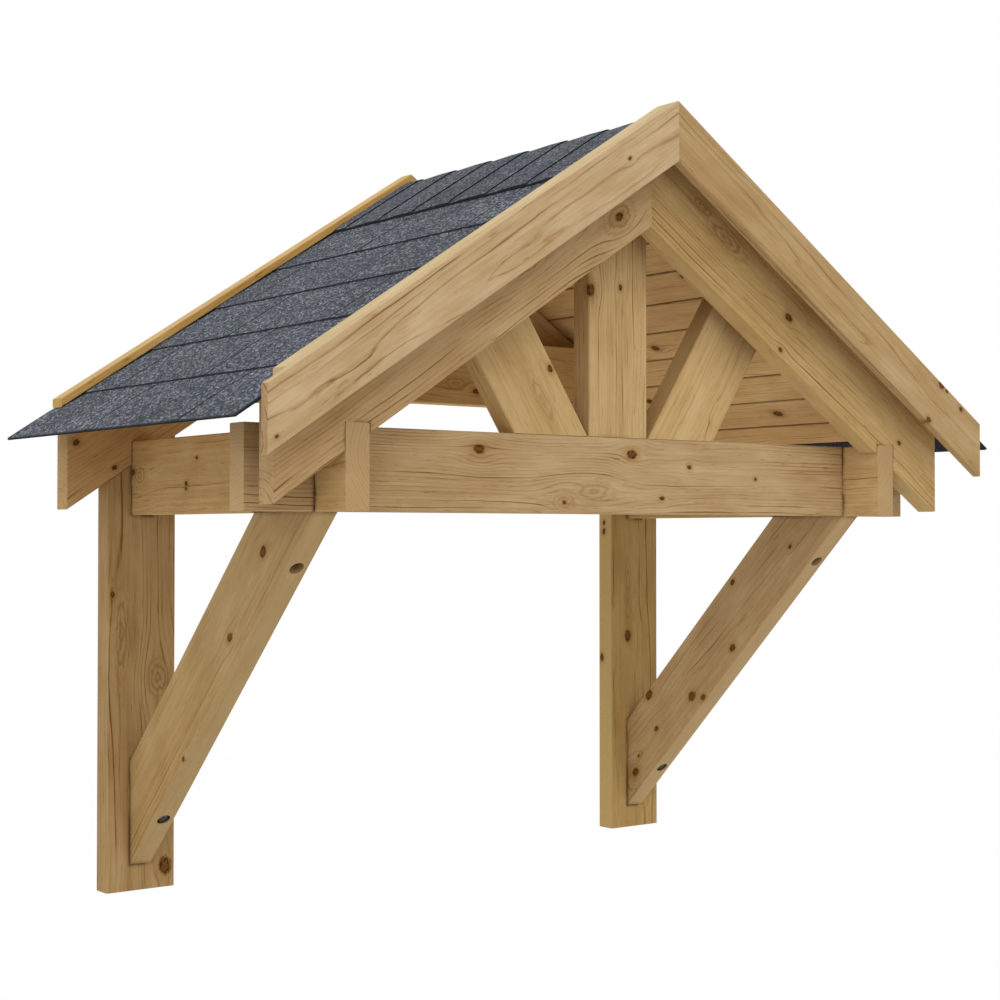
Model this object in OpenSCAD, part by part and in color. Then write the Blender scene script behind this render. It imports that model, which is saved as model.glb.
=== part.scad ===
// Gabled timber porch canopy that hangs on a house wall over a door.
// Millimetres, +Z up. The wall is the plane Y = 0 and the canopy stands out toward -Y.
// The origin is on the back face of the left wall post, level with the underside of the arms.

/* [Overall] */
// Distance between the centre lines of the two arms, and so of the two posts
arm_spacing = 1250; // [1000:10:1800]
// From the wall to the end faces of the arms and the front rafters
arm_reach = 796; // [700:2:1000]
// How far the posts hang below the underside of the arms
post_drop = 710; // [600:10:900]

/* [Timbers] */
// Thickness of every framing timber
timber_thickness = 45; // [38:1:60]
// Width of the two wall posts
post_width = 140; // [100:5:160]
// Depth of the arms and of the front tie beam that crosses them
arm_depth = 140; // [120:2:160]
// Depth of the two braces
brace_depth = 140; // [100:2:150]
// Width of the post that stands in the middle of the gable
king_post_width = 140; // [100:5:180]
// Depth of the two slanting struts of the gable
strut_depth = 140; // [90:5:160]
// Depth of the front and rear rafters
rafter_depth = 140; // [120:2:160]
// Depth of the tie beam that lies against the rear rafters
wall_tie_depth = 140; // [100:5:150]
// Bevel planed along the long edges of the timbers
arris = 2; // [1:0.5:4]
// Bevel planed along the long edges of the bargeboards and battens
board_arris = 1.5; // [0.5:0.5:3]

/* [Front frame] */
// Length of the front tie beam, past both arms
tie_beam_length = 1556; // [1450:2:2000]
// Open gap between the front rafters and the tie beam behind them
rafter_gap = 46; // [20:1:70]
// Play between a strut's foot and the king post
strut_gap = 3; // [0:0.5:10]
// Play beside an arm in the notch of the rafter above it
notch_play = 1.5; // [0.3:0.1:3]
// Play beside the timbers in the halved crossings
halving_play = 0.3; // [0.1:0.1:1]

/* [Braces] */
// Height of the brace's foot above the lower end of the post
brace_foot_rise = 50; // [20:5:100]
// From each end of the brace's underside to its bolt
bolt_inset = 132; // [110:1:136]
// Diameter of the bolt's shank
bolt_diameter = 10; // [8:1:12]
// Length of the bolt under its washer
bolt_length = 155; // [145:1:160]
// Diameter of the sunk hole for the washer
counterbore_diameter = 26; // [22:1:32]
// Depth of that hole at the brace's foot
lower_sink = 12; // [10:1:25]
// Depth of that hole at the brace's head
upper_sink = 28; // [10:1:30]
// Diameter of the washer
washer_diameter = 21; // [20:1:24]
// Thickness of the washer
washer_thickness = 2; // [1.5:0.5:3]
// Width across the flats of the bolt's six-sided head
head_across_flats = 17; // [13:1:18]
// Height of the bolt's head
head_height = 7; // [4:0.5:8]
// Space around the shank in its holes
bolt_play = 0.3; // [0.2:0.1:1]

/* [Roof] */
// Slope of the roof in degrees
roof_pitch = 33; // [28:1:36]
// Height of the rafters' lower edges at the ridge, above the underside of the arms
rafter_apex = 514; // [470:2:620]
// From the middle of the gable to the plumb-cut tails of the rafters
rafter_run = 777; // [740:1:1000]
// Underside of the rear tie beam, above the underside of the arms
wall_tie_rise = 239; // [200:1:260]
// Length of the rear tie beam
wall_tie_length = 900; // [780:10:920]
// Cover width of one tongue-and-groove board of the roof deck
board_cover = 88; // [70:1:120]
// Number of boards on each slope
boards_per_slope = 11; // [10:1:14]
// Width left of the last board, which is sawn down at the eave
eave_board = 70; // [40:1:88]
// Thickness of the roof deck
deck_thickness = 19; // [16:1:28]
// How far the deck runs past the front rafters
deck_overhang = 53; // [30:1:120]
// Depth of the V joints on the underside of the deck
v_joint_depth = 3; // [1:0.5:5]

/* [Bitumen shingles] */
// Height of one course of shingles along the slope
course_height = 163; // [120:1:200]
// Thickness of one shingle
shingle_thickness = 2.8; // [2:0.1:4]
// How far the shingles hang past the lower edge of the deck
eave_drip = 80; // [20:1:90]
// Gap between the shingles of the two slopes under the ridge caps
ridge_slot = 60; // [30:5:80]
// Width of a ridge cap down each slope
cap_wing = 222; // [160:2:240]
// Length of a ridge cap that stays in view
cap_exposure = 119; // [90:1:160]
// From the wall to the front edge of the first ridge cap
first_cap_edge = 84; // [60:1:150]

/* [Verge boards] */
// Depth of the bargeboards at right angles to the slope
bargeboard_depth = 90; // [80:2:140]
// Thickness of the bargeboards
bargeboard_thickness = 19; // [16:1:28]
// From the middle of the gable to the plumb-cut ends of the bargeboards
bargeboard_run = 830; // [800:1:1000]
// Width of the battens on top of the shingles at the front and the rear
batten_width = 40; // [30:1:60]
// Thickness of those battens
batten_thickness = 14; // [12:1:30]
// From the middle of the gable to the ends of the battens
batten_run = 787; // [740:1:960]

/* [Hidden] */
half_span = arm_spacing / 2;
slope = tan(roof_pitch);
plumb = 1 / cos(roof_pitch); // a size across the slope times plumb is its height on a plumb line

// distances out from the wall
rafter_back = arm_reach - timber_thickness;
tie_front = rafter_back - rafter_gap;
tie_back = tie_front - timber_thickness;
deck_front = arm_reach + deck_overhang;

// heights at the ridge, above the underside of the arms
deck_under = rafter_apex + rafter_depth * plumb;
deck_top = deck_under + deck_thickness * plumb;
shingle_lift = 2 * shingle_thickness; // a course lies on the head of the one below it
shingle_top = deck_top + shingle_lift * plumb;
verge_top = shingle_top + batten_thickness * plumb;

// lengths down the slope, from the ridge
deck_length = board_cover * (boards_per_slope - 1) + eave_board;
eave = deck_length + eave_drip;

// the brace runs from its foot on the post to the front of the tie beam
brace_foot = post_drop - brace_foot_rise;
brace_angle = atan2(brace_foot, tie_front - timber_thickness);
brace_length = norm([brace_foot, tie_front - timber_thickness]);

pine = [0.74, 0.60, 0.40];
pine_board = [0.70, 0.55, 0.36];
bitumen = [0.27, 0.29, 0.33];
zinc = [0.62, 0.63, 0.64];

// ---- set-out ------------------------------------------------------------------------------------

// Shifts a piece drawn about the middle of the gable so that the left post stands on the origin.
module set_out() translate([half_span, 0, 0]) children();

// Draws a piece of the right side, or its mirror image on the left.
module on_side(side) mirror([side == "left" ? 1 : 0, 0, 0]) children();

// Extrudes an upright outline, drawn in X and Z, from one distance out from the wall to another.
module from_wall(near, far) translate([0, -near, 0]) rotate([90, 0, 0]) linear_extrude(height = far - near) children();

// Extrudes an upright outline, drawn in Y and Z, across the thickness of one arm.
module in_arm_plane() translate([half_span - timber_thickness / 2, 0, 0])
    rotate([90, 0, 90]) linear_extrude(height = timber_thickness) children();

// Cross-section of a planed timber with bevelled corners.
module planed(width, height, bevel = arris) polygon([
    [bevel, 0], [width - bevel, 0], [width, bevel], [width, height - bevel],
    [width - bevel, height], [bevel, height], [0, height - bevel], [0, bevel]
]);

// A planed timber that runs along +X, with its back against the wall plane.
module timber_x(length, depth) rotate([90, 0, 90]) linear_extrude(height = length)
    translate([-timber_thickness, 0]) planed(timber_thickness, depth);

// A planed timber that stands out from the wall along -Y, centred on X = 0.
module timber_y(length, depth) rotate([90, 0, 0]) linear_extrude(height = length)
    translate([-timber_thickness / 2, 0]) planed(timber_thickness, depth);

// A planed timber that stands on Z = 0, centred on X = 0, with its back against the wall plane.
module timber_z(length, width) linear_extrude(height = length)
    translate([-width / 2, -timber_thickness]) planed(width, timber_thickness);

// Frame of the right slope: +X runs down the slope from the ridge and +Y stands off the deck's underside.
module down_slope(rise = deck_under) translate([0, rise]) rotate(-roof_pitch) children();

// Outline of the right half between two roof lines, with a plumb cut at the ridge and at the run.
module roof_band(low, high, run) polygon([
    [0, low], [run, low - slope * run], [run, high - slope * run], [0, high]
]);

// ---- side frames --------------------------------------------------------------------------------

module wall_post(side) color(pine) set_out() on_side(side) difference() {
    intersection() {
        translate([half_span, 0, -post_drop]) timber_z(post_drop + rafter_apex, post_width);
        // the head is cut to the slope, flush under the rear rafter
        from_wall(0, timber_thickness) polygon([
            [0, -post_drop], [rafter_run, -post_drop], [rafter_run, rafter_apex - slope * rafter_run], [0, rafter_apex]
        ]);
    }
    lower_bolt_place() bolt_hole(lower_sink);
}

module arm(side) color(pine) set_out() on_side(side) difference() {
    translate([half_span, -timber_thickness, 0]) timber_y(arm_reach - timber_thickness, arm_depth);
    // upper half of the halved crossing with the front tie beam
    translate([half_span - timber_thickness, -tie_front - halving_play, arm_depth / 2])
        cube([2 * timber_thickness, timber_thickness + 2 * halving_play, arm_depth]);
    upper_bolt_place() bolt_hole(upper_sink);
}

module brace(side) color(pine) set_out() on_side(side) difference() {
    intersection() {
        // cut plumb against the post and level under the arm
        in_arm_plane() polygon([
            [-timber_thickness, -brace_foot], [-tie_front, 0],
            [-tie_front + brace_depth / sin(brace_angle), 0],
            [-timber_thickness, -brace_foot + brace_depth / cos(brace_angle)]
        ]);
        brace_foot_frame() translate([0, 0, -brace_length / 2])
            linear_extrude(height = 2 * brace_length) translate([-timber_thickness / 2, 0])
            planed(timber_thickness, brace_depth);
    }
    lower_bolt_place() sunk_hole(lower_sink);
    upper_bolt_place() sunk_hole(upper_sink);
}

// Frame at the brace's lower tip: +Z runs up along its underside and +Y leads into the timber.
module brace_foot_frame() translate([half_span, -timber_thickness, -brace_foot])
    rotate([90 - brace_angle, 0, 0]) children();

// Frames of the two bolts: +Z is the way the bolt is driven, square to the brace's underside.
module lower_bolt_place() brace_foot_frame() translate([0, 0, bolt_inset]) rotate([-90, 0, 0]) children();
module upper_bolt_place() brace_foot_frame() translate([0, 0, brace_length - bolt_inset]) rotate([-90, 0, 0]) children();

module bolt_hole(sink) translate([0, 0, -1])
    cylinder(d = bolt_diameter + 2 * bolt_play, h = sink + bolt_length + 2, $fn = 32);

module sunk_hole(sink) {
    bolt_hole(sink);
    translate([0, 0, -1]) cylinder(d = counterbore_diameter, h = sink + 1, $fn = 48);
}

module bolt(sink) translate([0, 0, sink]) {
    translate([0, 0, -washer_thickness]) cylinder(d = washer_diameter, h = washer_thickness, $fn = 48);
    translate([0, 0, -washer_thickness - head_height])
        cylinder(d = head_across_flats / cos(30), h = head_height, $fn = 6);
    translate([0, 0, -washer_thickness]) cylinder(d = bolt_diameter, h = washer_thickness + bolt_length, $fn = 32);
}

module brace_bolts(side) color(zinc) set_out() on_side(side) {
    lower_bolt_place() bolt(lower_sink);
    upper_bolt_place() bolt(upper_sink);
}

// ---- gable frame --------------------------------------------------------------------------------

module front_tie_beam() color(pine) set_out() translate([0, -tie_back, 0]) difference() {
    translate([-tie_beam_length / 2, 0, 0]) timber_x(tie_beam_length, arm_depth);
    // lower half of the halved crossings with the arms
    for (x = [-half_span, half_span])
        translate([x - timber_thickness / 2 - halving_play, -2 * timber_thickness, -arm_depth / 2])
            cube([timber_thickness + 2 * halving_play, 3 * timber_thickness, arm_depth]);
}

module king_post() color(pine) set_out() intersection() {
    translate([0, -tie_back, arm_depth]) timber_z(deck_under, king_post_width);
    // its head fits the ridge of the roof deck
    from_wall(tie_back, tie_front) polygon([
        [-half_span, arm_depth], [half_span, arm_depth],
        [half_span, deck_under - slope * half_span], [0, deck_under], [-half_span, deck_under - slope * half_span]
    ]);
}

// The strut stands square to the slope above it, and its foot starts beside the king post.
module strut(side) color(pine) set_out() on_side(side) {
    foot = king_post_width / 2 + strut_gap;
    far_foot = foot + strut_depth * plumb;
    intersection() {
        from_wall(tie_back, tie_front) intersection() {
            translate([0, arm_depth]) square([half_span, deck_under]);
            down_slope() translate([0, -2 * deck_under]) square([deck_length, 2 * deck_under]);
        }
        translate([far_foot, -tie_back, arm_depth]) rotate([0, roof_pitch, 0])
            translate([-strut_depth / 2, 0, -strut_depth]) timber_z(2 * deck_under, strut_depth);
    }
}

// A rafter's outline: a band under the deck, mitred at the ridge and plumb-cut at the tail.
module rafter_outline() roof_band(rafter_apex, deck_under, rafter_run);

// The planed timber that a rafter is cut from, with its back at the given distance from the wall.
module rafter_timber(near) translate([0, -near, rafter_apex]) rotate([0, roof_pitch, 0])
    translate([-rafter_depth, 0, 0]) timber_x(2 * rafter_run, rafter_depth);

module rear_rafter(side) color(pine) set_out() on_side(side) intersection() {
    from_wall(0, timber_thickness) rafter_outline();
    rafter_timber(0);
}

module front_rafter(side) color(pine) set_out() on_side(side) difference() {
    intersection() {
        from_wall(rafter_back, arm_reach) rafter_outline();
        rafter_timber(rafter_back);
    }
    // the notch that seats on the top of the arm
    from_wall(rafter_back - 1, arm_reach + 1)
        translate([half_span - timber_thickness / 2 - notch_play, 0])
        square([timber_thickness + 2 * notch_play, arm_depth]);
}

module wall_tie_beam() color(pine) set_out()
    translate([-wall_tie_length / 2, -timber_thickness, wall_tie_rise]) timber_x(wall_tie_length, wall_tie_depth);

// ---- roof covering ------------------------------------------------------------------------------

// Keeps the part of a slope outline on the right of the ridge.
module right_of_ridge() intersection() {
    children();
    translate([0, -deck_under]) square([2 * eave, 4 * deck_under]);
}

module roof_deck(side) color(pine_board) set_out() on_side(side) from_wall(0, deck_front) right_of_ridge()
    down_slope() difference() {
        translate([-deck_thickness, 0]) square([deck_length + deck_thickness, deck_thickness]);
        // the V joints between the boards, on the side seen from below
        for (i = [1 : boards_per_slope - 1])
            translate([i * board_cover, 0]) rotate(45) square(v_joint_depth * sqrt(2), center = true);
    }

// Courses from the eave up to the slot at the ridge: each rises to its lower edge, over the course below.
function course_edge(i) = eave - i * course_height;
function course_count() = floor((eave - ridge_slot) / course_height);
function course_points() = [
    for (i = [0 : course_count()]) each [
        [course_edge(i), deck_thickness + shingle_lift],
        [max(course_edge(i + 1), ridge_slot / 2), deck_thickness + shingle_thickness]
    ]
];

module shingles(side) color(bitumen) set_out() on_side(side) from_wall(0, deck_front)
    down_slope() polygon(concat(
        [[ridge_slot / 2, deck_thickness], [eave, deck_thickness]],
        course_points()
    ));

// Cross-section of a ridge cap: two wings on the shingles, bent over the top of the deck.
module cap_outline() {
    bend = ridge_slot / 2;
    wing = cap_wing * cos(roof_pitch);
    cap_top = shingle_top + 1.2 * shingle_thickness * plumb;
    crown = deck_top + 0.5;
    polygon([
        [-wing, shingle_top - slope * wing], [-bend, shingle_top - slope * bend], [0, crown],
        [bend, shingle_top - slope * bend], [wing, shingle_top - slope * wing],
        [wing, cap_top - slope * wing], [bend, cap_top - slope * bend], [0, crown + cap_top - shingle_top],
        [-bend, cap_top - slope * bend], [-wing, cap_top - slope * wing]
    ]);
}

// Each cap is tipped so that its front edge lies on the head of the next one.
module ridge_caps() color(bitumen) set_out() {
    tip = atan(shingle_thickness / cap_exposure);
    last = ceil((deck_front - batten_width - first_cap_edge) / cap_exposure);
    intersection() {
        from_wall(batten_width, deck_front - batten_width)
            translate([-cap_wing, 0]) square([2 * cap_wing, 2 * deck_under]);
        union() for (i = [0 : last])
            translate([0, -first_cap_edge - i * cap_exposure, shingle_thickness]) rotate([-tip, 0, 0])
                from_wall(-cap_exposure - 8, 0) cap_outline();
    }
}

// ---- verge boards -------------------------------------------------------------------------------

// A board that runs down the slope between two roof lines, mitred at the ridge and plumb-cut at its end.
module verge_board(near, width, depth, run) {
    low = verge_top - depth * plumb;
    intersection() {
        from_wall(near, near + width) roof_band(low, verge_top, run);
        translate([0, -near, low]) rotate([0, roof_pitch, 0]) translate([-depth, 0, 0]) rotate([90, 0, 90])
            linear_extrude(height = 2 * run) translate([-width, 0]) planed(width, depth, board_arris);
    }
}

module bargeboard(side) color(pine) set_out() on_side(side)
    verge_board(deck_front, bargeboard_thickness, bargeboard_depth, bargeboard_run);

module batten(side, near) color(pine_board) set_out() on_side(side)
    verge_board(near, batten_width, batten_thickness, batten_run);

// ---- nodes --------------------------------------------------------------------------------------

module left_wall_post() wall_post("left");
module right_wall_post() wall_post("right");
module left_arm() arm("left");
module right_arm() arm("right");
module left_brace() brace("left");
module right_brace() brace("right");
module left_brace_bolts() brace_bolts("left");
module right_brace_bolts() brace_bolts("right");
module left_strut() strut("left");
module right_strut() strut("right");
module front_left_rafter() front_rafter("left");
module front_right_rafter() front_rafter("right");
module rear_left_rafter() rear_rafter("left");
module rear_right_rafter() rear_rafter("right");
module left_roof_deck() roof_deck("left");
module right_roof_deck() roof_deck("right");
module left_shingles() shingles("left");
module right_shingles() shingles("right");
module left_bargeboard() bargeboard("left");
module right_bargeboard() bargeboard("right");
module front_left_batten() batten("left", deck_front - batten_width);
module front_right_batten() batten("right", deck_front - batten_width);
module rear_left_batten() batten("left", 0);
module rear_right_batten() batten("right", 0);

left_wall_post();
right_wall_post();
left_arm();
right_arm();
left_brace();
right_brace();
left_brace_bolts();
right_brace_bolts();
front_tie_beam();
king_post();
left_strut();
right_strut();
front_left_rafter();
front_right_rafter();
rear_left_rafter();
rear_right_rafter();
wall_tie_beam();
left_roof_deck();
right_roof_deck();
left_shingles();
right_shingles();
ridge_caps();
left_bargeboard();
right_bargeboard();
front_left_batten();
front_right_batten();
rear_left_batten();
rear_right_batten();
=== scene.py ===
import math

import bmesh
import bpy
import numpy as np
from mathutils import Matrix, Vector


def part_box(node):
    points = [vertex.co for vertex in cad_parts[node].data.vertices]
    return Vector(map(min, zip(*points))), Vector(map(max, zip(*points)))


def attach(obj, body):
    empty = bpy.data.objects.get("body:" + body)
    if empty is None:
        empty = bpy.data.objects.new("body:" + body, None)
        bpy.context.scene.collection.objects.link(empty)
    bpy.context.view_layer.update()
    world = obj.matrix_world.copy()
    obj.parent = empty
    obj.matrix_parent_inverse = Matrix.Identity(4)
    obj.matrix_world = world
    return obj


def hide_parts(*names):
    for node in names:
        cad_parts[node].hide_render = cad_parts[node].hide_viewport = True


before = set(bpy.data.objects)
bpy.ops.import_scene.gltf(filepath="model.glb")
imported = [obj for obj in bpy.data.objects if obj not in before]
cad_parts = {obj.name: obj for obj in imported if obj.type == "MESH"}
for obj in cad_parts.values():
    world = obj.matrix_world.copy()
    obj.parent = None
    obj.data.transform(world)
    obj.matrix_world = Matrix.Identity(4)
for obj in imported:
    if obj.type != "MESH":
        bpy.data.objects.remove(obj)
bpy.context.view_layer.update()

# ---- Camera -------------------------------------------------------------------------------------
# It stands out from the wall to the left of the canopy, just below the arms, and looks a little up.
CAMERA_PLACE = (-1.574, -3.222, -0.037)
CAMERA_YAW = math.radians(37.43)  # from square to the wall toward +X
CAMERA_PITCH = math.radians(1.08)
CAMERA_LENS, SENSOR_WIDTH = 65.82, 36.0

camera = bpy.data.objects.new("camera", bpy.data.cameras.new("camera"))
camera.data.sensor_width = SENSOR_WIDTH
camera.data.lens = CAMERA_LENS
camera.location = CAMERA_PLACE
camera.rotation_euler = (math.pi / 2 + CAMERA_PITCH, 0, -CAMERA_YAW)
bpy.context.collection.objects.link(camera)
bpy.context.scene.camera = camera

# ---- Wall posts ---------------------------------------------------------------------------------
# Two planed pine planks that are bolted flat to the wall beside the door. Their heads are cut to the
# slope of the roof, and the arms and braces are fixed to their faces.
CREAM, HONEY = (0.60, 0.425, 0.205), (0.49, 0.318, 0.134)  # early wood
AMBER, RUSSET = (0.345, 0.195, 0.067), (0.20, 0.10, 0.032)  # late wood
END_PALE, END_DARK = (0.53, 0.355, 0.162), (0.35, 0.21, 0.082)
KNOT_HEART, KNOT_BARK, KNOT_HALO = (0.155, 0.060, 0.008), (0.034, 0.010, 0.001), (0.33, 0.170, 0.048)
# a paler colour painted on faces that look up, as light from above, and the colour of dirt and painted shade
# in joints and holes
TOP_LIGHT_PAINT, GRIME_AND_SHADE = (0.67, 0.545, 0.320), (0.070, 0.034, 0.009)
TAPER = 0.009  # how much nearer the bark a ring lies for each length along the log
LATE_WOOD, LATE_WIDTH = 0.82, 0.17  # where in a ring its dark line lies, and its width
BRACE_SEAT = 0.198  # length of a brace's foot on its post, and of its head under its arm
MM = 0.001


class Value:
    """A number, colour or vector that changes over a surface: one output of a material's nodes.

    Sums, differences, products and quotients with another value or a number add Math nodes.
    """

    def __init__(self, socket):
        self.socket = socket

    def put(self, kind, settings, sockets, out=0):
        """Adds a node, makes its settings, fills its sockets with values or links, and gives one output."""
        tree = self.socket.id_data
        node = tree.nodes.new("ShaderNode" + kind)
        for name, setting in settings.items():
            if name != "stops":
                setattr(node, name, setting)
                continue
            first, *between, last = setting
            ends = tuple(node.color_ramp.elements)
            for element, (place, colour) in zip(ends, (first, last)):
                element.position, element.color = place, (*colour, 1)
            for place, colour in between:
                node.color_ramp.elements.new(place).color = (*colour, 1)
        for name, filling in sockets.items():
            if isinstance(filling, Value):
                tree.links.new(filling.socket, node.inputs[name])
            else:
                node.inputs[name].default_value = filling
        return Value(node.outputs[out])

    def math(self, operation, *others):
        """A Math node on this value and the others."""
        return self.put("Math", {"operation": operation}, dict(enumerate((self, *others))))

    def vector(self, operation, *others, out=0):
        """A Vector Math node on this value and the others. Its second output, 1, is a number."""
        return self.put("VectorMath", {"operation": operation}, dict(enumerate((self, *others))), out)

    def __add__(self, other):
        return self.math("ADD", other)

    def __sub__(self, other):
        return self.math("SUBTRACT", other)

    def __mul__(self, other):
        return self.math("MULTIPLY", other)

    def __truediv__(self, other):
        return self.math("DIVIDE", other)

    def __rsub__(self, other):
        return self.put("Math", {"operation": "SUBTRACT"}, {0: other, 1: self})

    __radd__, __rmul__ = __add__, __mul__

    def axes(self):
        """The three coordinates of a vector, one by one."""
        return [self.put("SeparateXYZ", {}, {0: self}, number) for number in range(3)]

    def noise(self, lump, detail=2.0, rough=0.5):
        """Soft noise from 0 to 1, in lumps as large as lump along the three coordinates."""
        lumps = {"Vector": self.vector("DIVIDE", lump), "Scale": 1.0, "Detail": detail, "Roughness": rough}
        return self.put("TexNoise", {}, lumps)

    def step(self, low, high):
        """0 below low and 1 above high, with a soft change between them."""
        edges = {"Value": self, "From Min": low, "From Max": high}
        return self.put("MapRange", {"interpolation_type": "SMOOTHSTEP"}, edges)

    def ramp(self, *stops):
        """The colour at this place on a ramp of (place, colour) stops."""
        return self.put("ValToRGB", {"stops": stops}, {0: self})

    def under(self, colour, share):
        """This colour with another one laid over it by a share from 0 to 1."""
        return self.put("Mix", {"data_type": "RGBA"}, {0: share, 6: self, 7: colour}, 2)


def finish_for(name):
    """A new material. Gives it, its shader and the piece's own coordinates in metres."""
    material = bpy.data.materials.new(name)
    material.use_nodes = True
    shader = material.node_tree.nodes["Principled BSDF"]
    return material, shader, Value(material.node_tree.nodes.new("ShaderNodeTexCoord").outputs["Object"])


def feed(shader, **values):
    """Links values to the shader's sockets. Their names have _ for each space."""
    for name, value in values.items():
        shader.id_data.links.new(value.socket, shader.inputs[name.replace("_", " ")])


def parted(y, mm, middle, shape):
    """The grain parts round a branch. Gives y, drawn toward the branch's middle, and the distance from it.

    The distance is in radii of the branch: the way from its middle, times shape. What y is drawn in by
    is its own way from the middle, times a bell curve of the distance.
    """
    away = mm.vector("SUBTRACT", middle).vector("MULTIPLY", shape)
    reach = away.vector("LENGTH", out=1)
    return y - away.axes()[1] * (reach * reach * -0.09).math("EXPONENT") * (0.88 / shape[1]), reach


def healed_over(colour, log, reach, circle_colour, depth):
    """A colour with uneven circles laid over it, where branches have been grown over.

    reach is the distance from the nearest one, in radii. The circles come one and a half to a radius.
    """
    uneven = reach + (log.noise((18, 7, 7)) - 0.5) * 0.9
    circles = (uneven * 1.5).math("PINGPONG", 0.5).step(0.12, 0.46)
    return colour.under((*circle_colour, 1), (1 - uneven.step(0.8, 2.3)) * (circles * depth + 0.15))


def knotted(colour, log, reach, fibre):
    """A colour with knots laid over it: a soft halo, and inside it a brown heart with a dark rim.

    reach is the distance from the nearest knot, in radii. Noise makes the edges ragged and patchy.
    """
    ragged = reach + (log.noise((9, 4, 4)) - 0.5) * 0.8
    halo = (1 - ragged.step(0.7, 2.8)) * 0.6
    patchy = ragged + (log.noise((7, 3, 3)) - 0.5) * 1.6
    heart = patchy.ramp((0, KNOT_HEART), (0.5, KNOT_HEART), (0.85, KNOT_BARK), (1, KNOT_BARK))
    inside = 1 - (ragged + (fibre - 0.5) * 0.6).step(0.65, 1.3)
    return colour.under((*KNOT_HALO, 1), halo).under(heart, inside)


def soiled_and_shaded(colour, place, log, touching, share):
    """A colour with dirt and painted shade laid over it, here and there along the joints with the
    boxes in touching.

    It fades by a bell curve of the distance from the nearest box.
    """
    gap = None
    for low, high in touching:
        outside = place.vector("SUBTRACT", (low + high) / 2).vector("ABSOLUTE")
        outside = outside.vector("SUBTRACT", (high - low) / 2).vector("MAXIMUM", (0, 0, 0))
        distance = outside.vector("LENGTH", out=1)
        gap = gap.math("MINIMUM", distance) if gap else distance
    if not gap:
        return colour
    # the dirt and painted shade fade by a bell curve away from the joints, here and there
    close = (gap * gap * -50000).math("EXPONENT") * log.noise((90, 60, 60)).step(0.33, 0.56)
    return colour.under((*GRIME_AND_SHADE, 1), close * share)


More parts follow.
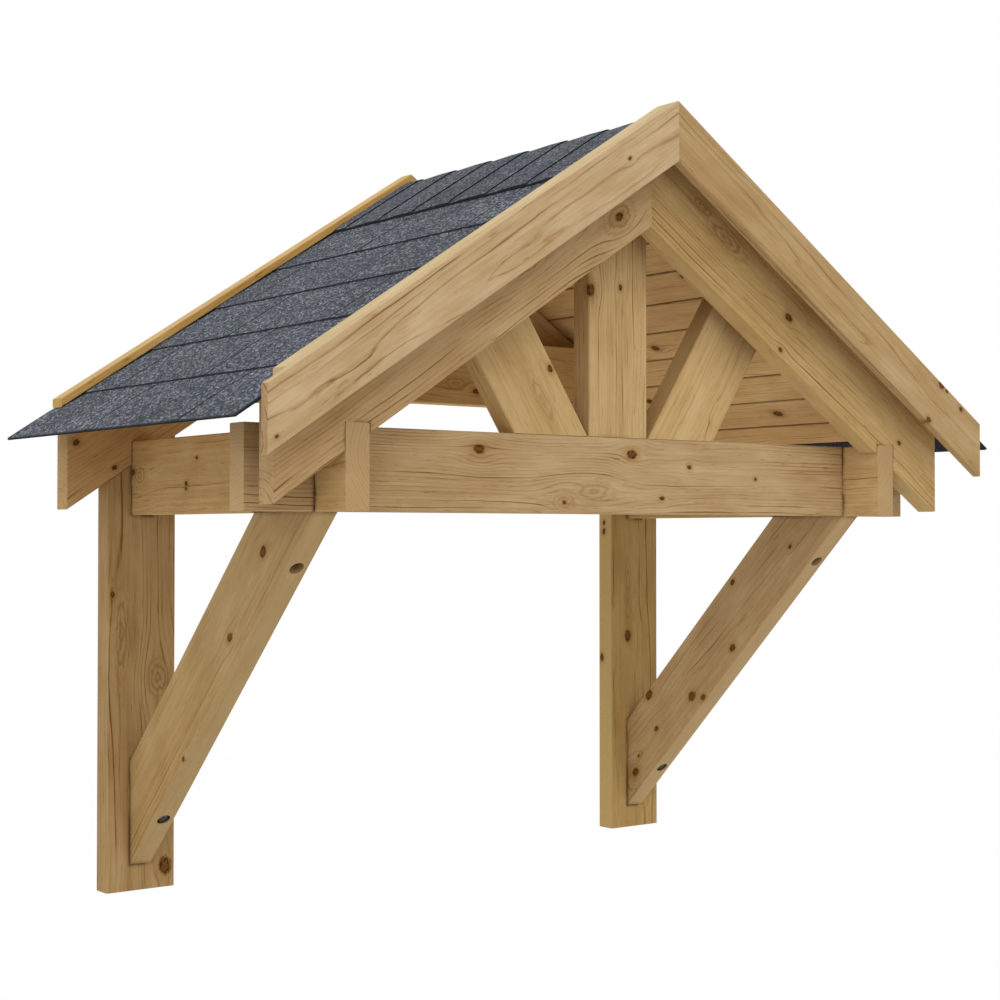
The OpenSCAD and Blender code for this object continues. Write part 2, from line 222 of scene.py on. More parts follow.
def grown(
    place, mm, along, across, pith, ring, figure, knots=(), swirls=(), healing=0.5, tone=(1, 1, 1), ends=None,
    edges=0.0, heartwood=(1, 0), touching=(), dirt=0.5, log=None
):
    """Colour, roughness and normal of pine. mm runs along the log, across the wide face and through it.

    The ring number is the distance from the pith, plus a taper along the log and a slow wander, over
    the ring width. Its whole part gives each ring a strength, and its fraction a dark line of late
    wood, as thin where a face runs along the rings as where it crosses them. It comes and goes along
    the log, and figure is its depth.

    The grain parts round knots, each given by its place along and across the timber and its radius.
    One with a fourth number, its place through the timber, is a ball, and the others run right through.
    Swirls have a branch grown over below them. They have a place, a radius and how many times longer
    they are than wide, and healing is the depth of their circles.

    tone and ends multiply the colours of the faces and of the cut ends, where the rings show as end
    grain. Narrow faces are paler by the share given for them, where edge grain shows; a share below 0
    paints them darker as shade. Heartwood is a radius round the pith and how much darker it is. Faces
    that look up are painted paler, as light from above, and dirt and painted shade lie here and there
    along the joints with the boxes in touching. log is mm again, or moved to another log for each board.
    """
    log = log or mm
    x, y, z = mm.axes()
    nearest, healed = None, None
    for lengthwise, sideways, radius, *through in knots:
        shape = (0.7 / radius, 1 / radius, 1 / radius if through else 0)
        y, reach = parted(y, mm, (lengthwise, sideways, through[0] if through else 0), shape)
        nearest = nearest.math("MINIMUM", reach) if nearest else reach
    for lengthwise, sideways, radius, length in swirls:
        y, reach = parted(y, mm, (lengthwise, sideways, 0), (1 / (length * radius), 1 / radius, 0))
        healed = healed.math("MINIMUM", reach) if healed else reach

    wander = log.noise((560, 90, 90)) * 32 + log.noise((170, 28, 28)) * 5 + log.noise((55, 9, 14)) * 1.8
    y, z = y - pith[0], z - pith[1]
    off_pith = (y * y + z * z).math("SQRT")
    rings = (off_pith + x * TAPER + wander) / ring
    normal = place.put("TexCoord", {}, {}, "Normal")
    edgeways = normal.vector("DOT_PRODUCT", across, out=1)
    broadways = normal.vector("DOT_PRODUCT", Vector(along).cross(Vector(across)), out=1)
    along_rings = (y * edgeways + z * broadways) / off_pith
    across_rings = (1 - along_rings * along_rings).math("MAXIMUM", 0).math("SQRT")
    strength = rings.put("TexWhiteNoise", {"noise_dimensions": "1D"}, {"W": rings.math("FLOOR")}, "Value")
    fraction = rings.math("FRACT")
    thin = (fraction - LATE_WOOD).math("ABSOLUTE") / (across_rings * LATE_WIDTH + 0.02)
    line = (1 - thin.math("MINIMUM", 1)) * 0.8 + fraction * fraction * across_rings * 0.3
    fade = log.noise((210, 16, 34)).step(0.36, 0.66)
    streak = log.noise((230, 7, 12), 3.0, 0.6)
    fibre = log.noise((42, 1.7, 1.7), 3.0, 0.65)
    mottle = log.noise((150, 48, 60), 3.0, 0.6)
    tear = log.noise((40, 2.6, 5), 3.0).step(0.64, 0.72)

    inner = (1 - (rings * (ring / heartwood[0])).step(0.9, 1.1)) if heartwood[1] else 0
    lines = line * (strength * strength * 1.1 + 0.2) * (fade * 0.85 + 0.15) * (inner * figure + figure)
    drift = (streak - 0.5) * 0.5 + (fibre - 0.5) * 0.35 + (mottle - 0.5) * 0.8 + tear * 0.4
    drift = drift + inner * heartwood[1]
    wood = CREAM, HONEY, AMBER, RUSSET
    pale, honey, amber, russet = (tuple(np.multiply(colour, tone)) for colour in wood)
    end_pale, end_dark = (tuple(np.multiply(colour, ends or tone)) for colour in (END_PALE, END_DARK))
    colour = (lines + drift + 0.27).ramp((0, pale), (0.33, honey), (0.72, amber), (1, russet))
    # narrow faces: paler where edge grain shows; with a share below 0, painted darker as shade
    if edges:
        edge_colour = (*(pale if edges > 0 else russet), 1)
        colour = colour.under(edge_colour, edgeways.math("ABSOLUTE").step(0.5, 0.9) * abs(edges))
    if healed:
        colour = healed_over(colour, log, healed, amber, healing)
    if nearest:
        colour = knotted(colour, log, nearest, fibre)

    pores = log.noise((1.5, 1.1, 1.1))
    end_grain = line * (strength * 0.3 + 0.1) + (pores - 0.5) * 0.6 + (mottle - 0.5) * 0.6
    cut = normal.vector("DOT_PRODUCT", along, out=1).math("ABSOLUTE").step(0.75, 0.95)
    upward = normal.axes()[2].step(0.55, 0.85)
    colour = colour.under((end_grain + 0.2).ramp((0, end_pale), (1, end_dark)), cut)
    # faces that look up are painted paler, as light from above
    colour = colour.under((*TOP_LIGHT_PAINT, 1), upward * 0.35)
    # dirt and painted shade along the joints with the pieces it touches
    colour = soiled_and_shaded(colour, place, log, touching, (streak * 1.2 + 0.4) * dirt)
    ridges = line * 0.3 + fibre * 0.7
    bump = ridges.put("Bump", {}, {"Strength": 0.35, "Distance": 0.0004, "Height": ridges})
    return colour, fibre * 0.2 + 0.6, bump


def planed(shader, colour, roughness, normal):
    """Feeds a planed, uncoated face to its shader."""
    shader.inputs["Specular IOR Level"].default_value = 0.1
    feed(shader, Base_Color=colour, Roughness=roughness, Normal=normal)


def sawn(name, start, along, across):
    """Material, shader and coordinates of a timber: metres as built, and millimetres from start."""
    material, shader, place = finish_for(name)
    along, across = Vector(along).normalized(), Vector(across).normalized()
    turn = Matrix((along, across, along.cross(across))).transposed().to_euler()
    turned = {"Vector": place, "Location": start, "Rotation": turn, "Scale": (MM, MM, MM)}
    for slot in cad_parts[name].material_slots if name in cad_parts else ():
        slot.material = material
    return material, shader, place, place.put("Mapping", {"vector_type": "TEXTURE"}, turned)


def pine(name, start, along, across, **wood):
    """Gives a timber its pine. start is the middle of one end, and along and across are directions."""
    _, shader, place, mm = sawn(name, start, along, across)
    planed(shader, *grown(place, mm, along, across, **wood))


def ends_of(name):
    """Lowest corner, highest corner and middle of a timber's box."""
    low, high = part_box(name)
    return low, high, (low + high) / 2


def brace_seats(side):
    """Where a brace touches its post, and where it touches its arm, as flat boxes."""
    low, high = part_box(side + "_brace")
    on_post = Vector((low.x, high.y, low.z)), Vector((high.x, high.y, low.z + BRACE_SEAT))
    under_arm = Vector((low.x, low.y, high.z)), Vector((high.x, low.y + BRACE_SEAT, high.z))
    return on_post, under_arm


for side, wood in (
    ("left", dict(
        pith=(-25, -40), ring=8.0, figure=0.9, tone=(0.76, 0.73, 0.71), edges=-0.12, heartwood=(42, 0.32),
        knots=((40, 50, 12), (560, -60, 4)), swirls=((400, 35, 14, 1.6), (485, -42, 10, 5.5)),
    )),
    ("right", dict(
        pith=(-25, 60), ring=6.5, figure=1.15, tone=(0.82, 0.79, 0.63), edges=0.9,
        knots=((700, -70, 4, 4), (680, -70, 5, 4), (440, -20, 9), (390, -70, 6, 12)),
        swirls=((530, -20, 6, 9),),
    )),
):
    name = side + "_wall_post"
    low, high, mid = ends_of(name)
    lie = (mid.x, mid.y, low.z), (0, 0, 1), (1, 0, 0)
    pine(name, *lie, **wood, healing=0.75, touching=(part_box(side + "_arm"), brace_seats(side)[0]), dirt=0.9)

# ---- Arms ---------------------------------------------------------------------------------------
# Pine planks on edge that stand out from the posts and carry the roof. Each is halved over the front
# tie beam, and its square end stands level with the face of the front rafters.
for side, wood in (
    ("left", dict(
        pith=(20, -75), tone=(1.02, 1.0, 0.97), swirls=((35, 5, 14, 1.3),),
        knots=((5, 10, 6), (220, -15, 4), (220, -25, 3), (260, 30, 3)),
    )),
    ("right", dict(pith=(50, 80), tone=(1.02, 1.0, 0.98), knots=((150, 20, 6), (430, -30, 8)))),
):
    name = side + "_arm"
    low, high, mid = ends_of(name)
    lie = (mid.x, high.y, mid.z), (0, -1, 0), (0, 0, 1)
    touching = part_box(side + "_wall_post"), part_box("front_tie_beam"), brace_seats(side)[1]
    wood.update(ring=6.5, figure=0.7, healing=0.7, ends=(0.96, 0.95, 0.98), touching=touching, dirt=0.9)
    pine(name, *lie, **wood)

# ---- Braces -------------------------------------------------------------------------------------
# Pine planks that lean from the post out to the arm, cut plumb at the foot and level at the head.
# Each is fixed by two bolts, driven into round holes sunk in its underside, whose walls are painted dark as
# shade.
HALF_DEPTH = 0.07  # of every plank of the frame
for side, wood in (
    ("left", dict(
        pith=(15, 85), figure=0.45, tone=(0.77, 0.755, 0.71),
        knots=((770, 0, 8), (585, -25, 7), (305, -65, 4, 22)),
    )),
    ("right", dict(
        pith=(-45, 95), figure=0.7, tone=(0.85, 0.84, 0.88), swirls=((75, -30, 14, 1.2),),
        knots=(
            (610, 55, 5), (510, -45, 7), (340, -35, 9), (365, -60, 6, 22), (235, 60, 9), (200, -10, 5),
            (75, -35, 8), (785, -10, 4), (110, -15, 3),
        ),
    )),
):
    name = side + "_brace"
    low, high, mid = ends_of(name)
    rise = Vector((0, low.y - high.y, high.z - low.z)).normalized()
    inward = Vector((0, rise.z, -rise.y))
    start = Vector((mid.x, high.y, low.z)) + inward * HALF_DEPTH
    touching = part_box(side + "_wall_post"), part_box(side + "_arm")
    _, shader, place, mm = sawn(name, start, rise, inward)
    wood.update(ring=7.0, edges=0.5, touching=touching)
    colour, roughness, normal = grown(place, mm, rise, inward, **wood)
    length, depth, width = mm.axes()
    # a hole is 26 mm wide and at most 28 mm deep, and painted shade darkens the lower ones more than the
    # upper ones
    in_hole = depth.step(-69.8, -66) * (1 - depth.step(-40, -38))
    in_hole = in_hole * (1 - width.math("ABSOLUTE").step(13.2, 14.2))
    dirty = 0.92 - length.step(400, 420) * 0.80
    planed(shader, colour.under((*GRIME_AND_SHADE, 1), in_hole * dirty), roughness, normal)

# ---- Brace bolts --------------------------------------------------------------------------------
# Zinc-plated wood screws with six-sided heads, each on a round washer at the bottom of its hole.
# The upper ones are driven deeper than the lower ones.
BOLT_INSET = 0.132  # from each end of the brace's underside
LOWER_SINK, UPPER_SINK = 0.012, 0.028
HEAD_FLATS, HEAD_FACE, HEAD_HEIGHT, WASHER, SHANK = 17.0, 16.1, 7.0, 21.0, 10.0


def carried(name, rings, material, crease=30):
    """A closed piece: rings of points carried along a path, with quads between them and flat ends.

    rings holds, for each body, its stations along the path, and for each station the places of the
    points round the profile. Each quad joins a point and its neighbour to the same two one station on.
    """
    bodies, stations, points, _ = rings.shape
    number = np.arange(bodies * stations * points).reshape(bodies, stations, points)
    beside = np.roll(number, -1, axis=2)
    quads = np.stack((number[:, :-1], beside[:, :-1], beside[:, 1:], number[:, 1:]), -1).reshape(-1, 4)
    ends = np.concatenate((number[:, 0, ::-1], number[:, -1]))
    mesh = bpy.data.meshes.new(name)
    mesh.from_pydata(rings.reshape(-1, 3), [], quads.tolist() + ends.tolist())
    shell = bmesh.new()
    shell.from_mesh(mesh)
    bmesh.ops.recalc_face_normals(shell, faces=shell.faces)
    shell.to_mesh(mesh)
    shell.free()
    mesh.shade_smooth()
    mesh.set_sharp_from_angle(angle=math.radians(crease))
    mesh.materials.append(material)
    piece = bpy.data.objects.new(name, mesh)
    bpy.context.collection.objects.link(piece)
    return piece


zinc, shader, place = finish_for("zinc_plate")
spangle = place.put("TexVoronoi", {}, {"Vector": place, "Scale": 420.0}, "Color").axes()[0]
film = place.noise((0.004, 0.004, 0.004), 3.0)
dull = (spangle * 0.35 + film * 0.65).ramp((0.25, (0.022, 0.020, 0.020)), (0.75, (0.12, 0.112, 0.114)))
shader.inputs["Metallic"].default_value = 1.0
film_bump = film.put("Bump", {}, {"Strength": 0.3, "Distance": 0.0002, "Height": film})
feed(shader, Base_Color=dull, Roughness=film * 0.3 + 0.33, Normal=film_bump)

# places along the bolt from the washer's seat, and radii; a radius of 0 stands for the chamfered head
along_bolt = np.array([
    (-8.7, 5.2), (-9.0, 6.4), (-9.0, HEAD_FACE / 2), (-8.75, 0), (-8.5, 0), (-8.25, 0), (-7.9, 0), (-2.0, 0),
    (-2.0, WASHER / 2 - 0.4), (-1.6, WASHER / 2), (-0.4, WASHER / 2), (0, WASHER / 2 - 0.4), (0, SHANK / 2),
    (120, SHANK / 2), (146, SHANK / 2 - 1), (155, 0.6),
])
turn = np.radians(np.arange(48) * 7.5)
six_flats = HEAD_FLATS / 2 / np.cos((turn + math.pi / 6) % (math.pi / 3) - math.pi / 6)
height, radius = along_bolt[:, :1], along_bolt[:, 1:]
chamfered = np.minimum(six_flats, HEAD_FACE / 2 + (height + HEAD_HEIGHT + 2) * 1.73)
bolt_radius = np.where(radius > 0, radius + 0 * turn, chamfered) * MM
for name in ("left_brace", "right_brace"):
    low, high, mid = ends_of(name)
    foot, head = np.array((mid.x, high.y, low.z)), np.array((mid.x, low.y, high.z))
    rise = (head - foot) / np.linalg.norm(head - foot)
    inward = np.array((0, rise[2], -rise[1]))
    lower_seat = foot + rise * BOLT_INSET + inward * LOWER_SINK
    upper_seat = head - rise * BOLT_INSET + inward * UPPER_SINK
    seats = np.array((lower_seat, upper_seat))
    round_it = np.cos(turn)[:, None] * rise + np.sin(turn)[:, None] * np.array((1, 0, 0))
    rings = seats[:, None, None] + height[:, :, None] * MM * inward + bolt_radius[:, :, None] * round_it
    bolts = carried(name + "_screws", rings, zinc)
    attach(bolts, "root")
    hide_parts(name + "_bolts")

# ---- Front tie beam -----------------------------------------------------------------------------
# A pine plank on edge in front of the wall. It crosses both arms in halved joints, runs on past
# them, and carries the king post and the struts.
low, high, mid = ends_of("front_tie_beam")
pine(
    "front_tie_beam", (low.x, mid.y, mid.z), (1, 0, 0), (0, 0, 1), pith=(-150, 30), ring=6.5, figure=1.0,
    knots=((460, 40, 8), (810, 40, 8), (955, 20, 4), (1130, 0, 3), (885, -40, 4), (650, -50, 3)),
    swirls=((650, -50, 9, 1.6), (720, -30, 12, 2.5)), tone=(0.92, 0.93, 1.04), ends=(1.0, 0.99, 1.05),
    touching=(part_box("left_arm"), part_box("right_arm")), dirt=0.9,
)

# ---- King post and struts -----------------------------------------------------------------------
# A short pine post under the ridge, and a slanting plank on either side of it. The struts meet the
# roof square to its slope.
PITCH = math.radians(33)
low, high, mid = ends_of("king_post")
pine(
    "king_post", (mid.x, mid.y, low.z), (0, 0, 1), (1, 0, 0), pith=(90, -70), ring=6.5, figure=1.0,
    knots=((265, -65, 8, -22), (275, 5, 4), (290, -70, 4, 6)), tone=(1.03, 1.04, 1.08), edges=-0.25,
    touching=(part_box("front_tie_beam"),), dirt=0.2,
)
for name, side, wood in (
    ("left_strut", -1, dict(
        pith=(40, 85), tone=(1.02, 1.01, 0.98), knots=((100, 60, 5),), swirls=((60, 15, 9, 4),),
    )),
    ("right_strut", 1, dict(pith=(-25, -90), tone=(1.12, 1.16, 1.2), edges=-0.45, knots=((330, 40, 4),))),
):
    low, high, mid = ends_of(name)
    foot = (high.x if side < 0 else low.x) + side * HALF_DEPTH / math.cos(PITCH)
    up = (side * math.sin(PITCH), 0, math.cos(PITCH))
    across = -side * up[2], 0, abs(up[0])
    pine(name, (foot, mid.y, low.z), up, across, ring=7.0, figure=0.7, **wood)

# ---- Rafters ------------------------------------------------------------------------------------
# Four pine planks on edge, mitred at the ridge and cut plumb at their tails. The front pair is
# notched over the arms, and the rear pair is fixed to the wall on the heads of the posts.


def down_the_slope(name, side, depth):
    """Start, along and across of a plank that runs down from the ridge, depth thick up and down."""
    low, high, mid = ends_of(name)
    down = Vector((side * math.cos(PITCH), 0, -math.sin(PITCH)))
    up = Vector((side * math.sin(PITCH), 0, math.cos(PITCH)))
    return Vector((high.x if side < 0 else low.x, mid.y, high.z)) - up * depth / 2, down, up


for name, side, wood in (
    ("front_left_rafter", -1, dict(
        pith=(-130, 40), figure=1.1, tone=(0.97, 0.96, 1.04), knots=((150, -20, 7),),
        swirls=((150, -20, 16, 1.6), (375, 5, 9, 4)),
    )),
    ("front_right_rafter", 1, dict(
        pith=(20, 60), figure=0.8, tone=(1.0, 1.0, 0.95), knots=((460, 5, 7), (475, -60, 4), (850, -15, 4)),
        swirls=((250, 28, 12, 3), (170, 40, 9, 2.5)),
    )),
    ("rear_left_rafter", -1, dict(
        pith=(-130, 40), figure=0.6, tone=(0.97, 0.92, 0.88),
        knots=((340, 20, 7), (935, 25, 5), (895, -55, 4)),
    )),
    ("rear_right_rafter", 1, dict(pith=(40, -80), figure=0.7, knots=((420, -30, 8), (650, 25, 5)))),
):
    touching = [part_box(side_arm) for side_arm in ("left_arm", "right_arm") if name.startswith("front")]
    lie = down_the_slope(name, side, 2 * HALF_DEPTH)
    pine(name, *lie, ring=7.0, **wood, healing=0.8, edges=0.3, touching=touching)

# ---- Wall tie beam ------------------------------------------------------------------------------
# A pine plank on edge against the wall, screwed to the rear rafters.
low, high, mid = ends_of("wall_tie_beam")
pine(
    "wall_tie_beam", (low.x, mid.y, mid.z), (1, 0, 0), (0, 0, 1), pith=(20, 60), ring=6.5, figure=0.7,
    knots=((585, -40, 6), (250, 10, 8), (720, 30, 5)), swirls=((530, -25, 10, 2.5),), tone=(1.05, 1.02, 0.92),
)

# ---- Roof boards --------------------------------------------------------------------------------
# Eleven tongue-and-groove boards of pine on each slope, nailed across the rafters from the wall to
# the gable. Their lower edges are planed off, so that a V joint shows between them from below.
COVER, BOARD, BOARDS, EAVE_BOARD, VEE, TONGUE = 88.0, 19.0, 11, 70.0, 3.0, 6.0
DECK = COVER * (BOARDS - 1) + EAVE_BOARD
BOARD_TONE = 1.18, 1.13, 1.10

# profile of one board: down the slope from its upper edge, and up from its underside
profile = np.array([
    (VEE, 0), (COVER - VEE, 0), (COVER, VEE), (COVER, 6.5), (COVER + TONGUE, 6.9), (COVER + TONGUE, 12.1),
    (COVER, 12.5), (COVER - 0.4, BOARD), (0.1, BOARD), (0.1, 12.9), (TONGUE + 1, 12.6), (TONGUE + 1, 6.4),
    (0.1, 6.1), (0.1, VEE),
])
boards = profile + np.arange(BOARDS)[:, None, None] * np.array((COVER, 0))
boards[0, 0] = (0, 0)  # the first board is cut plumb at the ridge
boards[0, 8:, 0] = -boards[0, 8:, 1] * math.tan(PITCH)
boards[-1, 1:8, 0] = DECK + np.array((-1, 0, 0, 0, 0, 0, 0))  # the last one is sawn down to fit
boards[-1, 2, 1] = 1


def ridge_of(deck):
    """The point at the wall where the undersides of the roof boards on both slopes meet."""
    low, high, mid = ends_of(deck)
    middle = high.x if deck.startswith("left") else low.x
    return Vector((middle, high.y, high.z - BOARD * MM / math.cos(PITCH)))


def on_slope(ridge, side, down, up):
    """Places in metres on the roof, from millimetres down the slope and up from the boards' underside."""
    across = ridge[0] + side * (down * math.cos(PITCH) + up * math.sin(PITCH)) * MM
    return across, ridge[2] + (up * math.cos(PITCH) - down * math.sin(PITCH)) * MM


for name, side, knots in (
    ("left_roof_deck", -1, ((120, 300, 8), (420, 560, 7), (640, 150, 7), (300, 820, 8))),
    ("right_roof_deck", 1, ((550, 370, 8), (275, 575, 8), (90, 755, 8), (430, 835, 9), (330, 120, 6))),
):
    low, high, mid = ends_of(name)
    ridge = ridge_of(name)
    across, height = on_slope(ridge, side, boards[:, None, :, 0], boards[:, None, :, 1])
    out = np.array((high.y, low.y))[None, :, None] + 0 * across
    down = Vector((side * math.cos(PITCH), 0, -math.sin(PITCH)))
    finish, shader, place, mm = sawn(name + "_pine", ridge, (0, -1, 0), down)
    number = (mm.axes()[1] / COVER).math("FLOOR")
    own = number.put("TexWhiteNoise", {"noise_dimensions": "1D"}, {"W": number + 7.3}, "Color")
    own_x, own_y, own_z = own.axes()
    heart = (number + own_x * 1.6 - 0.3) * COVER, own_y * 120 - 60
    log = own.vector("MULTIPLY_ADD", (9000, 0, 0), mm)  # every board is cut from a log of its own
    # dirt and painted shade where the boards lie on the rafters
    touching = [
        (Vector((-9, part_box(rafter)[0].y, -9)), Vector((9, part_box(rafter)[1].y, 9)))
        for rafter in ("front_left_rafter", "rear_left_rafter")
    ]
    colour, roughness, normal = grown(
        place, mm, (0, 1, 0), down, pith=heart, ring=5.5, figure=0.7, knots=knots, tone=BOARD_TONE,
        touching=touching, log=log,
    )
    colour = colour.under((*AMBER, 1), own_z * own_z * 0.25)  # some boards are darker than others
    near_eave = (mm.axes()[1] / DECK).step(0.5, 0.9)  # the lowest boards are painted paler, as light from below
    colour = colour.put("VectorMath", {"operation": "SCALE"}, {0: colour, "Scale": near_eave * 0.18 + 1})
    joint = 0.5 - ((mm.axes()[1] / COVER).math("FRACT") - 0.5).math("ABSOLUTE")
    joint = (joint * joint * -1200).math("EXPONENT") * 0.75
    planed(shader, colour.under((*GRIME_AND_SHADE, 1), joint), roughness, normal)
    cover = carried(name + "_boards", np.stack((across + 0 * out, out, height + 0 * out), -1), finish)
    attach(cover, "root")
    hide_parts(name)

# ---- Shingles -----------------------------------------------------------------------------------
# Strips of bitumen felt with slate-blue mineral grit, nailed on in courses from the eave up. Slits
# cut each strip into tabs, and each course lies over the head of the one below it.
COURSE, SHINGLE, SHEET, EAVE_DRIP, RIDGE_SLOT, COURSES = 163.0, 2.8, 2.2, 80.0, 60.0, 6
TAB, SLIT, HEAD_LAP, STARTER = 336.0, 5.0, 45.0, 90.0
GRAINS_PER_METRE, FLECK = 330.0, (0.0085, 0.0033, 0.004)
EAVE = DECK + EAVE_DRIP


def gritty(name, pale=1.0, speckle=0.7, peak=None, cut_edge=(0.009, 0.010, 0.013)):
    """Bitumen felt: mineral grit on top, bare felt underneath, and dark bitumen on the cut edges.

    Each grain of the grit has a shade of its own. Flecks of several grains, rolled out long, are
    lighter or darker together, and broad blotches dull it. With peak, the ridge of the boards'
    underside, a painted shadow darkens a narrow line under the lower edge of every course.
    """
    finish, shader, place = finish_for(name)
    grain = place.put("TexVoronoi", {}, {"Vector": place, "Scale": GRAINS_PER_METRE}, "Color").axes()[0]
    rolled = {"Vector": place, "Rotation": (0, 0, math.radians(60)), "Scale": FLECK}
    rolled = place.put("Mapping", {"vector_type": "TEXTURE"}, rolled)
    hues = place.put("TexVoronoi", {}, {"Vector": rolled, "Scale": 1.0}, "Color")
    fleck = hues.axes()[0]
    clumps = place.noise((0.009, 0.012, 0.009), 3.0, 0.7)
    blotch = place.noise((0.16, 0.16, 0.16), 3.0)
    depth = (grain - 0.5) * (0.35 * speckle) + (fleck - 0.5) * speckle + (clumps - 0.5) * (0.4 * speckle)
    depth = depth + (blotch - 0.5) * 0.3 + 0.43
    low_shades = (0, (0.010, 0.011, 0.015)), (0.3, (0.029, 0.033, 0.044))
    shades = *low_shades, (0.6, (0.072, 0.081, 0.101)), (1, (0.30, 0.32, 0.36))
    grit = depth.ramp(*((at, tuple(part * pale for part in colour)) for at, colour in shades))
    if peak:
        x, _, z = place.axes()
        down = (x - peak.x).math("ABSOLUTE") * (math.cos(PITCH) / MM) - (z - peak.z) * (math.sin(PITCH) / MM)
        # a painted shadow under the lower edge of every course
        course_shadow = ((EAVE - down) / COURSE).math("FRACT").step(0.984, 0.996)
        grit = grit.under((0.010, 0.011, 0.014, 1), course_shadow * 0.4)
    felt = (clumps * 0.6 + fleck * 0.4).ramp((0.3, (0.008, 0.010, 0.015)), (0.8, (0.045, 0.051, 0.070)))
    facing = place.put("TexCoord", {}, {}, "Normal").axes()[2]
    colour = felt.under((*cut_edge, 1), 1 - facing.math("ABSOLUTE").step(0.6, 0.7))
    colour = colour.under(grit.under(hues, 0.03), facing.step(0.6, 0.7))
    bump = grain.put("Bump", {}, {"Strength": 0.7, "Distance": 0.0008, "Height": grain + clumps})
    shader.inputs["Specular IOR Level"].default_value = 0.2
    feed(shader, Base_Color=colour, Roughness=clumps * 0.2 + 0.74, Normal=bump)
    return finish


shingle_grit = gritty("shingle_grit", 1.16, peak=ridge_of("left_roof_deck"), cut_edge=(0.032, 0.035, 0.044))
felt_finish = gritty("under_felt", 0.25)
rng = np.random.default_rng(8)
for name, side in (("left_shingles", -1), ("right_shingles", 1)):
    low, high, mid = ends_of(name)
    ridge = ridge_of(name.replace("shingles", "roof_deck"))
    depth = (high.y - low.y) / MM
    tabs = []
    for course in range(COURSES):
        butt = EAVE - course * COURSE
        top = max(butt - COURSE - HEAD_LAP, RIDGE_SLOT / 2)
        flat = STARTER + 5 if course == 0 else HEAD_LAP
        cuts = np.arange((course % 2) * TAB / 2 - TAB, depth, TAB)
        starts, stops = np.clip(cuts + SLIT / 2, 0, depth), np.clip(cuts + TAB - SLIT / 2, 0, depth)
        keep = stops - starts > 10
        starts, stops = starts[keep, None], stops[keep, None]
        along = starts + (stops - starts) * np.linspace(0, 1, 25)
        back = np.concatenate(((0, 1.5), np.linspace(8, butt - top, 15)))
        under = BOARD + SHINGLE * (1 - np.clip((back - flat) / (COURSE - flat), 0, 1))
        # the tabs curl up a little at their lower corners, except under the battens
        corner = np.exp(-((along - starts) / 35) ** 2) + np.exp(-((along - stops) / 35) ** 2)
        clear = np.clip(np.minimum(along - 50, depth - 50 - along) / 60, 0, 1)
        curl = (corner * rng.uniform(0.1, 0.7, starts.shape) * clear)[:, :, None] * np.exp(-(back / 40) ** 2)
        edge = rng.normal(0, 0.35, along.shape)[:, :, None] * np.exp(-(back / 30) ** 2)
        lower = np.stack((butt - back + edge, under + curl, -along[:, :, None] + 0 * curl), -1)
        upper = lower + np.array((0, SHEET, 0))
        upper[:, :, 0, 0] -= 0.6  # the cut edge is a little rounded on top
        tabs.append(np.concatenate((lower, upper[:, :, ::-1]), 2))
    tabs = np.concatenate(tabs)
    across, height = on_slope(ridge, side, tabs[..., 0], tabs[..., 1])
    cover = carried(name + "_tabs", np.stack((across, high.y + tabs[..., 2] * MM, height), -1), shingle_grit)
    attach(cover, "root")
    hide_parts(name)
    # the roofing felt on the boards, and the starter strip that stiffens the eave
    felt_top, start, end = BOARD + 0.5, EAVE - STARTER, EAVE - 1
    layers = np.array((
        ((RIDGE_SLOT / 2, BOARD), (start - 1, BOARD), (start - 1, felt_top), (RIDGE_SLOT / 2, felt_top)),
        ((start, BOARD), (end, BOARD), (end, BOARD + SHINGLE), (start, BOARD + SHINGLE)),
    ))
    across, height = on_slope(ridge, side, layers[:, None, :, 0], layers[:, None, :, 1])
    out = np.array((high.y, low.y))[None, :, None] + 0 * across
    felt = carried(name + "_felt", np.stack((across + 0 * out, out, height + 0 * out), -1), felt_finish)
    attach(felt, "root")

# ---- Ridge caps ---------------------------------------------------------------------------------
# Single tabs cut from the same felt and bent over the ridge. They are nailed on from the gable
# toward the wall, so that each one covers the head of the next one out.
CAPS, CAP_WING, CAP_THICK, CAP_LENGTH, CAP_SHOWS, CAP_TIP = 8, 231.0, 2.2, 165.0, 119.0, 2.7
FIRST_CAP, BATTEN, BEND = 84.0, 40.0, 9.0
ON_TOP_COURSE, DROOP = 217.0, 2.3  # past the top course's edge, the wings lie on the course below it
deck_low, deck_high, _ = ends_of("left_roof_deck")
top_line = deck_high.z / MM + 2 * SHINGLE / math.cos(PITCH)
wing = np.sinh(np.linspace(-1, 1, 49) * np.arcsinh(ON_TOP_COURSE * math.cos(PITCH) / 20)) * 20
wing = np.concatenate(((-CAP_WING * math.cos(PITCH),), wing, (CAP_WING * math.cos(PITCH),)))
bend = np.sqrt(wing ** 2 + BEND ** 2)
thick = CAP_THICK * np.sqrt(1 + (math.tan(PITCH) * wing / bend) ** 2)
caps = []
for number in range(CAPS):
    front = FIRST_CAP + CAP_SHOWS * number
    reach = np.linspace(max(front - CAP_LENGTH, BATTEN), min(front, -deck_low.y / MM - BATTEN), 22)[:, None]
    lift = CAP_TIP * (1 - np.clip((front - reach - HEAD_LAP) / (CAP_SHOWS - HEAD_LAP), 0, 1)) + 0 * wing
    lift = lift - DROOP * (np.abs(wing) > ON_TOP_COURSE * math.cos(PITCH) + 1)
    lower = np.stack((wing + 0 * lift, -reach + 0 * lift, top_line - math.tan(PITCH) * bend + lift), -1)
    upper = lower + np.stack((0 * thick, 0 * thick, thick), -1)
    caps.append(np.concatenate((lower, upper[:, ::-1]), 1))
caps = np.array(caps) * MM + np.array((deck_high.x, 0, 0))
cover = carried("ridge_cap_tabs", caps, gritty("cap_grit", 1.05, 0.6))
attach(cover, "root")
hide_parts("ridge_caps")

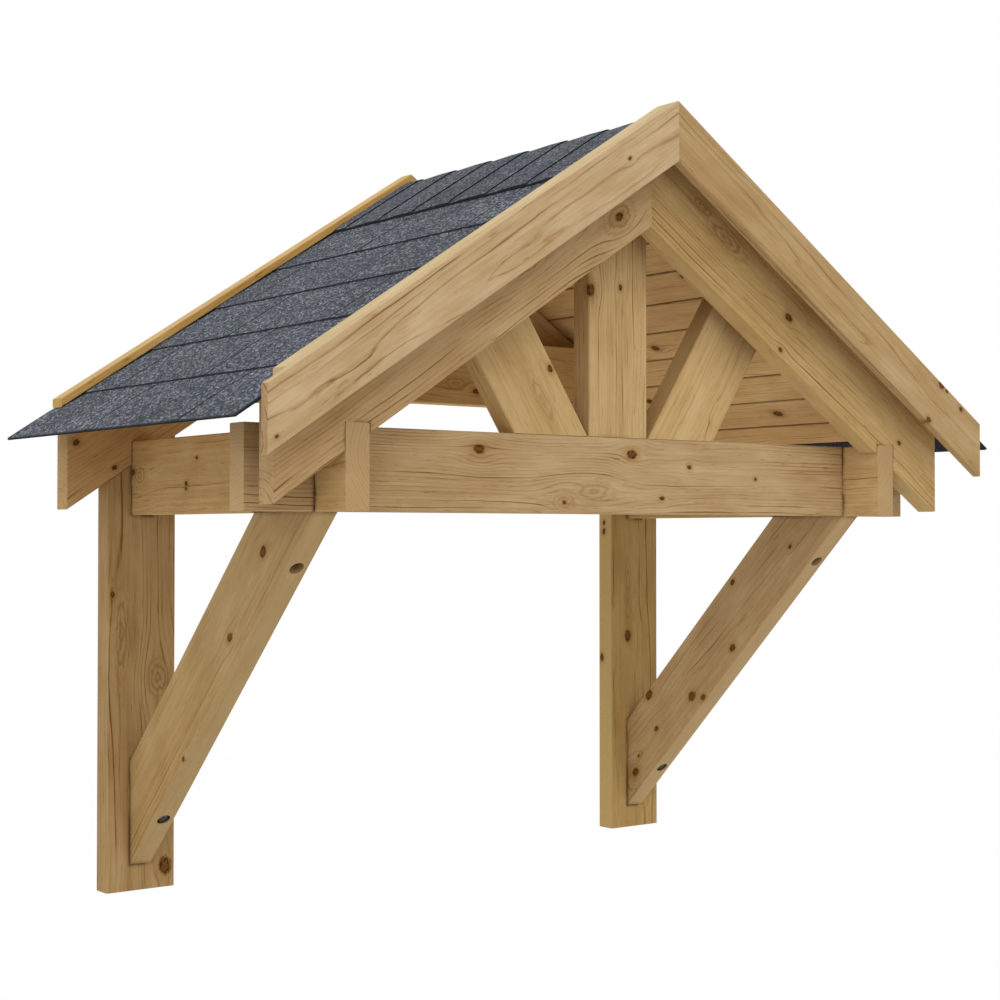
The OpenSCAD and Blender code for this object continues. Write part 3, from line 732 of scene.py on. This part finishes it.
# ---- Bargeboards --------------------------------------------------------------------------------
# Planed pine boards nailed over the ends of the roof boards at the front, mitred at the ridge.
BARGEBOARD_DEPTH = 0.09
for name, side, wood in (
    ("left_bargeboard", -1, dict(
        pith=(-18, 36), figure=1.2, tone=(1.02, 1.07, 1.33), knots=((1020, -30, 2.5), (160, 10, 3)),
    )),
    ("right_bargeboard", 1, dict(
        pith=(-25, 70), figure=0.9, tone=(0.87, 0.86, 0.91),
        knots=((925, 35, 4), (855, -40, 5), (850, 40, 6), (870, 40, 3)),
    )),
):
    lie = down_the_slope(name, side, BARGEBOARD_DEPTH)
    pine(name, *lie, ring=9.0, **wood, ends=(0.68, 0.555, 0.525))

# ---- Battens ------------------------------------------------------------------------------------
# Narrow planed strips of pine along both verges, nailed through the shingles.
BATTEN_THICKNESS = 0.014
for name, side, wood in (
    ("front_left_batten", -1, dict(pith=(60, 20), figure=0.8, tone=(1.14, 1.26, 1.48))),
    ("front_right_batten", 1, dict(pith=(-70, 15), figure=0.8, tone=(1.14, 1.26, 1.48))),
    ("rear_left_batten", -1, dict(pith=(50, 25), figure=1.5, tone=(1.12, 1.0, 0.7))),
    ("rear_right_batten", 1, dict(pith=(-60, 30), figure=1.2, tone=(1.1, 1.05, 0.9))),
):
    start, down, _ = down_the_slope(name, side, BATTEN_THICKNESS)
    pine(name, start, down, (0, 1, 0), ring=4.0, **wood)

# ---- Floor and light ----------------------------------------------------------------------------
# A pale floor as far down as the doorstep under such a canopy, an even sky all round, and one broad
# soft light from above, in front and to the left.
DOORSTEP = -2.1
FLOOR_WHITE = 0.95  # how white the floor is to the eye, whatever the light on it
SKY_LIGHT = 0.76  # light the sky gives; to the eye it is pure white


def seen_directly(value):
    """1 where a surface is seen by the camera, in a mirror or through glass, and 0 where it gives light."""
    kinds = "Is Camera Ray", "Is Glossy Ray", "Is Transmission Ray"
    camera, glossy, clear = (value.put("LightPath", {}, {}, kind) for kind in kinds)
    return camera.math("MAXIMUM", glossy).math("MAXIMUM", clear)


floor_mesh = bpy.data.meshes.new("floor")
corners = [(x, y, DOORSTEP) for x, y in ((-12, -14), (14, -14), (14, 12), (-12, 12))]
floor_mesh.from_pydata(corners, [], [(0, 1, 2, 3)])
floor = bpy.data.objects.new("floor", floor_mesh)
bpy.context.collection.objects.link(floor)
paint, shader, place = finish_for("floor_paint")
floor_mesh.materials.append(paint)
cloudy = place.noise((0.5, 0.5, 0.5), 3.0)
feed(shader, Base_Color=cloudy.ramp((0, (0.79, 0.79, 0.79)), (1, (0.81, 0.81, 0.81))))
shader.inputs["Roughness"].default_value = 0.9
lit = Value(shader.outputs[0])
white = place.put("Emission", {}, {"Strength": 1.0})
lifted = lit.put("MixShader", {}, {0: seen_directly(place) * FLOOR_WHITE, 1: lit, 2: white})
behind = place.put("NewGeometry", {}, {}, "Backfacing")
clear = place.put("BsdfTransparent", {}, {})
shown = lit.put("MixShader", {}, {0: behind, 1: lifted, 2: clear})
paint.node_tree.links.new(shown.socket, paint.node_tree.nodes["Material Output"].inputs["Surface"])

lamp = bpy.data.objects.new("broad_light", bpy.data.lights.new("broad_light", "SUN"))
lamp.data.energy = 1.2
lamp.data.angle = math.radians(70)
lamp.rotation_euler = Vector((0.62, 0.6, -0.75)).to_track_quat("-Z", "Y").to_euler()
bpy.context.collection.objects.link(lamp)

world = bpy.data.worlds.new("studio")
bpy.context.scene.world = world
world.use_nodes = True
sky = world.node_tree.nodes["Background"]
strength = seen_directly(Value(sky.outputs[0])) * (1 - SKY_LIGHT) + SKY_LIGHT
world.node_tree.links.new(strength.socket, sky.inputs["Strength"])
sky.inputs["Color"].default_value = (1, 1, 1, 1)

bpy.context.scene.view_settings.view_transform = "Standard"
